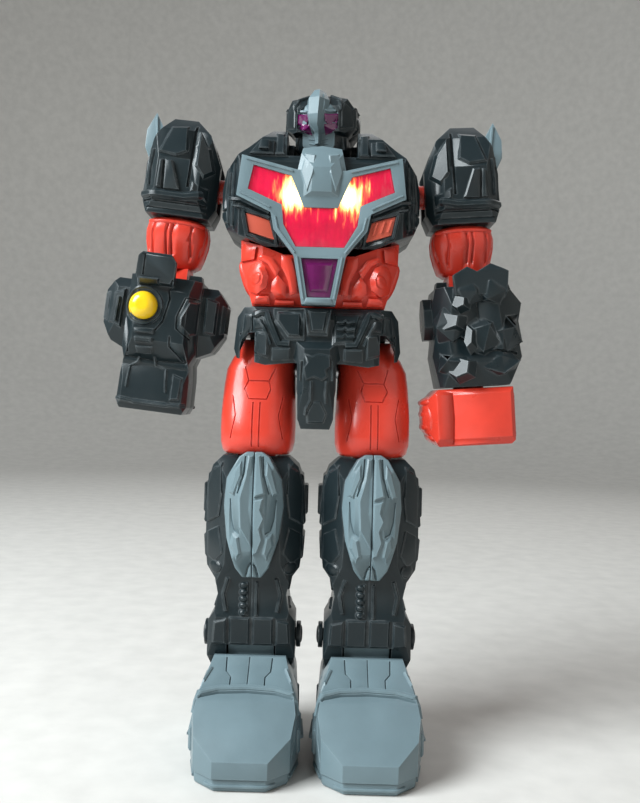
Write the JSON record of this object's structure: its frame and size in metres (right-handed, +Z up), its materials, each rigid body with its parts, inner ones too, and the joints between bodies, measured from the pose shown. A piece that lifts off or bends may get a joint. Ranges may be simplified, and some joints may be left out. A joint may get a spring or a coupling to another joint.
{
  "type": "jointed robot action figure",
  "caption": "Jointed robot figure with a lit chest window, a blaster forearm with a fire button, a fist, knee guards and heavy boots.",
  "frame": {"origin": "on the floor, at the middle of the figure's bounding box seen from above", "axes": "+Z up through the head, -Y the way the chest faces, +X the figure's left"},
  "size_m": [0.1096, 0.0486, 0.1704],
  "materials": {
    "dark_plastic": "satin moulded ABS",
    "grey_plastic": "satin silver-grey ABS",
    "red_plastic": "glossy moulded ABS",
    "red_window": "clear red polystyrene",
    "purple_lens": "clear purple polystyrene",
    "orange_vent": "painted ABS",
    "circuit_board": "printed circuit board",
    "led_light": "clear epoxy",
    "yellow_plastic": "glossy moulded ABS",
    "steel": "plated steel"
  },
  "bodies": {
    "pelvis": {"pelvis_front": "dark_plastic", "pelvis_back": "dark_plastic", "hip_axle": "steel", "pelvis_screws": "steel"},
    "torso": {"chest_front": "dark_plastic", "chest_back": "dark_plastic", "abdomen_front": "red_plastic", "abdomen_back": "red_plastic", "chest_frame": "grey_plastic", "window_upper": "red_window", "window_lower": "purple_lens", "side_vents": "orange_vent", "led_board": "circuit_board", "leds": "led_light", "button_cells": "steel", "battery_door": "dark_plastic", "torso_screws": "steel", "waist_post": "dark_plastic", "neck_peg": "dark_plastic"},
    "light_button": {"light_button": "dark_plastic"},
    "head": {"helmet_front": "dark_plastic", "helmet_back": "dark_plastic", "face": "grey_plastic", "eye_lenses": "purple_lens"},
    "right_shoulder": {"right_shoulder_peg": "red_plastic"},
    "right_pauldron": {"right_pauldron_front": "dark_plastic", "right_pauldron_back": "dark_plastic", "right_shoulder_fin": "grey_plastic"},
    "right_upper_arm": {"right_upper_arm": "red_plastic"},
    "right_forearm": {"blaster_front": "dark_plastic", "blaster_back": "dark_plastic", "right_elbow_pin": "steel"},
    "blaster_button": {"blaster_button": "yellow_plastic"},
    "left_shoulder": {"left_shoulder_peg": "red_plastic"},
    "left_pauldron": {"left_pauldron_front": "dark_plastic", "left_pauldron_back": "dark_plastic", "left_shoulder_fin": "grey_plastic"},
    "left_upper_arm": {"left_upper_arm": "red_plastic"},
    "left_forearm": {"gauntlet_front": "dark_plastic", "gauntlet_back": "dark_plastic", "left_elbow_pin": "steel"},
    "fist": {"fist": "red_plastic"},
    "right_thigh": {"right_thigh_inner": "red_plastic", "right_thigh_outer": "red_plastic"},
    "right_shin": {"right_shin_inner": "dark_plastic", "right_shin_outer": "dark_plastic", "right_knee_guard": "grey_plastic", "right_knee_pin": "steel", "right_ankle_pin": "dark_plastic"},
    "right_foot": {"right_foot_upper": "grey_plastic", "right_foot_sole": "grey_plastic"},
    "left_thigh": {"left_thigh_inner": "red_plastic", "left_thigh_outer": "red_plastic"},
    "left_shin": {"left_shin_inner": "dark_plastic", "left_shin_outer": "dark_plastic", "left_knee_guard": "grey_plastic", "left_knee_pin": "steel", "left_ankle_pin": "dark_plastic"},
    "left_foot": {"left_foot_upper": "grey_plastic", "left_foot_sole": "grey_plastic"}
  },
  "joints": [
    {"name": "waist_turn", "type": "hinge", "parent": "pelvis", "child": "torso", "pos_m": [0.0011, 0.0096, 0.1135], "axis": [0, 0, 1], "range_deg": [-40, 40]},
    {"name": "head_turn", "type": "hinge", "parent": "torso", "child": "head", "pos_m": [0.0011, 0.0096, 0.157], "axis": [0, 0, 1], "range_deg": [-50, 70]},
    {"name": "light_button_press", "type": "slide", "parent": "torso", "child": "light_button", "axis": [0, -1, 0], "range_m": [0, 0.001], "stiffness_N_per_m": 400},
    {"name": "right_shoulder_swing", "type": "hinge", "parent": "torso", "child": "right_shoulder", "pos_m": [0.0011, 0.0096, 0.145], "axis": [-1, 0, 0], "range_deg": [-45, 160]},
    {"name": "right_shoulder_lift", "type": "hinge", "parent": "right_shoulder", "child": "right_pauldron", "pos_m": [-0.0354, 0.0096, 0.145], "axis": [0, 1, 0], "range_deg": [0, 15]},
    {"name": "right_arm_turn", "type": "hinge", "parent": "right_pauldron", "child": "right_upper_arm", "pos_m": [-0.03626, 0.0096, 0.13684], "axis": [0.1045, 0, 0.9945], "range_deg": [-80, 80]},
    {"name": "right_elbow_bend", "type": "hinge", "parent": "right_upper_arm", "child": "right_forearm", "pos_m": [-0.03874, 0.0096, 0.11318], "axis": [-0.9945, 0, 0.1045], "range_deg": [0, 20]},
    {"name": "blaster_button_press", "type": "slide", "parent": "right_forearm", "child": "blaster_button", "axis": [0, 1, 0], "range_m": [0, 0.001], "stiffness_N_per_m": 400},
    {"name": "left_shoulder_swing", "type": "hinge", "parent": "torso", "child": "left_shoulder", "pos_m": [0.0011, 0.0096, 0.145], "axis": [-1, 0, 0], "range_deg": [-45, 160]},
    {"name": "left_shoulder_lift", "type": "hinge", "parent": "left_shoulder", "child": "left_pauldron", "pos_m": [0.0376, 0.0096, 0.145], "axis": [0, -1, 0], "range_deg": [0, 15]},
    {"name": "left_arm_turn", "type": "hinge", "parent": "left_pauldron", "child": "left_upper_arm", "pos_m": [0.03824, 0.0096, 0.13683], "axis": [-0.0785, 0, 0.9969], "range_deg": [-80, 80]},
    {"name": "left_elbow_bend", "type": "hinge", "parent": "left_upper_arm", "child": "left_forearm", "pos_m": [0.04011, 0.0096, 0.1131], "axis": [-0.9969, 0, -0.0785], "range_deg": [0, 20]},
    {"name": "left_wrist_turn", "type": "hinge", "parent": "left_forearm", "child": "fist", "pos_m": [0.04154, 0.0096, 0.09495], "axis": [-0.0785, 0, 0.9969], "range_deg": [-90, 90]},
    {"name": "right_hip_swing", "type": "hinge", "parent": "pelvis", "child": "right_thigh", "pos_m": [-0.0139, 0.0096, 0.098], "axis": [-1, 0, 0], "range_deg": [-20, 35]},
    {"name": "right_knee_bend", "type": "hinge", "parent": "right_thigh", "child": "right_shin", "pos_m": [-0.0139, 0.0096, 0.067], "axis": [1, 0, 0], "range_deg": [0, 60]},
    {"name": "right_ankle_pitch", "type": "hinge", "parent": "right_shin", "child": "right_foot", "pos_m": [-0.0139, 0.0096, 0.028], "axis": [-1, 0, 0], "range_deg": [-15, 15]},
    {"name": "left_hip_swing", "type": "hinge", "parent": "pelvis", "child": "left_thigh", "pos_m": [0.0161, 0.0096, 0.098], "axis": [-1, 0, 0], "range_deg": [-20, 35]},
    {"name": "left_knee_bend", "type": "hinge", "parent": "left_thigh", "child": "left_shin", "pos_m": [0.0161, 0.0096, 0.067], "axis": [1, 0, 0], "range_deg": [0, 60]},
    {"name": "left_ankle_pitch", "type": "hinge", "parent": "left_shin", "child": "left_foot", "pos_m": [0.0161, 0.0096, 0.028], "axis": [-1, 0, 0], "range_deg": [-15, 15]}
  ]
}
